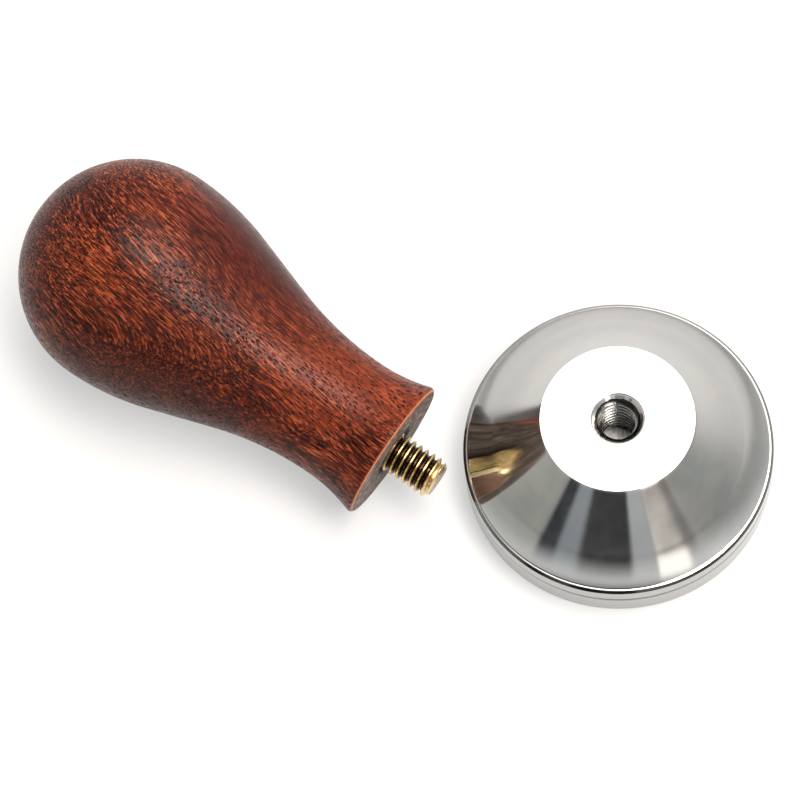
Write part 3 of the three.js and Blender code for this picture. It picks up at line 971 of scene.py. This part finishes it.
def light_room():
    """A studio room: boards and gaps near the horizon, a dim dome, and softboxes above."""
    world = bpy.data.worlds.new("studio")
    bpy.context.scene.world = world
    tree = Tree(world)
    direction = tree.node("ShaderNodeTexCoord").outputs["Generated"]
    x, y, z = tree.split(direction)
    azimuth = tree.math("ARCTAN2", x, tree.times(y, -1.0))
    share = tree.math("ADD", tree.math("DIVIDE", azimuth, 2 * math.pi), 0.5)
    degrees = tree.times(azimuth, 180 / math.pi)
    elevation = tree.times(tree.math("ARCSINE", z), 180 / math.pi)

    room = tree.mix(tree.smooth(elevation, *LOW_BELT_TOP),
                    belt(tree, share, LOW_BELT), belt(tree, share, HORIZON_BELT))
    drop = round_the_room(tree, share, [(angle, grey(0.5 + lower / BELT_DROP_RANGE))
                                        for angle, lower in BELT_DROP])
    drop = tree.times(tree.math("SUBTRACT", drop, 0.5), BELT_DROP_RANGE)
    above_belt = tree.span(tree.math("ADD", elevation, drop), *BELT_TOP, first=0.0, last=1.0)
    room = tree.mix(above_belt, room, grey(UPPER_LIGHT))
    sideways = tree.vector_math("DOT_PRODUCT", direction, DOME_TOWARDS)
    dome = tree.mix(tree.smooth(sideways, *DOME_SIDES), grey(DOME_DARK), grey(DOME_BRIGHT))
    room = tree.mix(tree.smooth(elevation, *DOME_START), room, dome)

    edges = [tree.smooth(degrees, *edge) for edge in GAP_AZIMUTH]
    edges += [tree.smooth(elevation, *edge) for edge in GAP_ELEVATION]
    room = tree.mix(tree.times(*edges), room, GAP_LIGHT)
    for panel_azimuth, panel_elevation, outer, inner, light in PANELS:
        nearness = tree.vector_math("DOT_PRODUCT", direction,
                                    panel_middle(panel_azimuth, panel_elevation))
        inside = tree.smooth(nearness, math.cos(math.radians(outer)),
                             math.cos(math.radians(inner)))
        room = tree.mix(inside, room, tuple(light * part for part in PANEL_TINT) + (1,))

    seen = tree.node("ShaderNodeLightPath").outputs["Is Camera Ray"]
    colour = tree.mix(seen, room, grey(BACKDROP))
    background = tree.node("ShaderNodeBackground", {"Color": colour, "Strength": 1.0})
    tree.node("ShaderNodeOutputWorld", {"Surface": background.outputs[0]})


# ---------------------------------------------------------------------------------------------
# Floor and camera, in metres
# ---------------------------------------------------------------------------------------------

FLOOR_SIZE = 8.0
FLOOR_WHITE = 0.30
FLOOR_GLOW = 0.47
FLOOR_ROUGHNESS = 0.9
FLOOR_SPECULAR = 0.1
FLOOR_CENTRE = Vector((-0.040, 0.020, 0))
FLOOR_FADE = [(0.11, 1), (0.19, 0.90), (0.40, 0.66), (1.00, 0.52)]  # distance, brightness

# The camera looks down at the middle of the object from the -Y side, turned a little about its own
# axis
CAMERA_ELEVATION = math.radians(68.1)
CAMERA_ROLL = math.radians(-9.56)
CAMERA_PLACE = Vector((-0.038733, -0.243748, 0.656457))
CAMERA_LENS = 166.6
CAMERA_SENSOR = 36.0
CAMERA_CLIP = (0.05, 20.0)


def lay_floor():
    """A pale floor that darkens softly away from the object, as outside a softbox's light."""
    half = FLOOR_SIZE / 2
    corners = [(-half, -half, 0), (half, -half, 0), (half, half, 0), (-half, half, 0)]
    mesh = bpy.data.meshes.new("floor")
    mesh.from_pydata(corners, [], [(0, 1, 2, 3)])
    floor = bpy.data.objects.new("floor", mesh)
    bpy.context.scene.collection.objects.link(floor)

    made, tree = material("floor_white")
    own = tree.node("ShaderNodeTexCoord").outputs["Object"]
    away = tree.vector_math("DISTANCE", own, FLOOR_CENTRE)
    farthest = FLOOR_FADE[-1][0]
    fade = tree.ramp(tree.math("DIVIDE", away, farthest),
                     [(distance / farthest, grey(light)) for distance, light in FLOOR_FADE])
    white = tree.mix(1.0, fade, grey(FLOOR_WHITE), "MULTIPLY")
    tree.surface(Base_Color=white, Roughness=FLOOR_ROUGHNESS, Specular_IOR_Level=FLOOR_SPECULAR,
                 Emission_Color=fade, Emission_Strength=FLOOR_GLOW)
    floor.data.materials.append(made)


def place_camera():
    data = bpy.data.cameras.new("camera")
    data.lens = CAMERA_LENS
    data.sensor_width = CAMERA_SENSOR
    data.clip_start, data.clip_end = CAMERA_CLIP
    camera = bpy.data.objects.new("camera", data)
    bpy.context.scene.collection.objects.link(camera)
    level_up = Vector((0, math.sin(CAMERA_ELEVATION), math.cos(CAMERA_ELEVATION)))
    level_right = Vector((1, 0, 0))
    right = math.cos(CAMERA_ROLL) * level_right + math.sin(CAMERA_ROLL) * level_up
    up = math.cos(CAMERA_ROLL) * level_up - math.sin(CAMERA_ROLL) * level_right
    turn = Matrix((right, up, right.cross(up))).transposed()
    camera.matrix_world = Matrix.Translation(CAMERA_PLACE) @ turn.to_4x4()
    bpy.context.scene.camera = camera


# ---------------------------------------------------------------------------------------------
# Putting it together
# ---------------------------------------------------------------------------------------------

place_camera()
light_room()
lay_floor()
bpy.context.scene.view_settings.view_transform = "Standard"

steel_base = build_base()
paint(steel_base, turned_steel(), hole_steel(), in_hole)
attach(steel_base, "base")
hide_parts("tamper_base")

lying = lying_place()
handle_points = [(radius * INSIDE_FACETS, height) for radius, height in handle_outline()]
turned_handle = turned("turned_handle", lambda turn: handle_points, ROUND_STEPS)
paint(turned_handle, lacquered_wood(lying), end_grain(lying), on_end_face)
turned_handle.data.transform(lying)
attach(turned_handle, "handle")
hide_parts("wooden_handle")

zinc_bolt = build_bolt()
paint(zinc_bolt, yellow_zinc(lying))
zinc_bolt.data.transform(lying)
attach(zinc_bolt, "handle")
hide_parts("hanger_bolt")
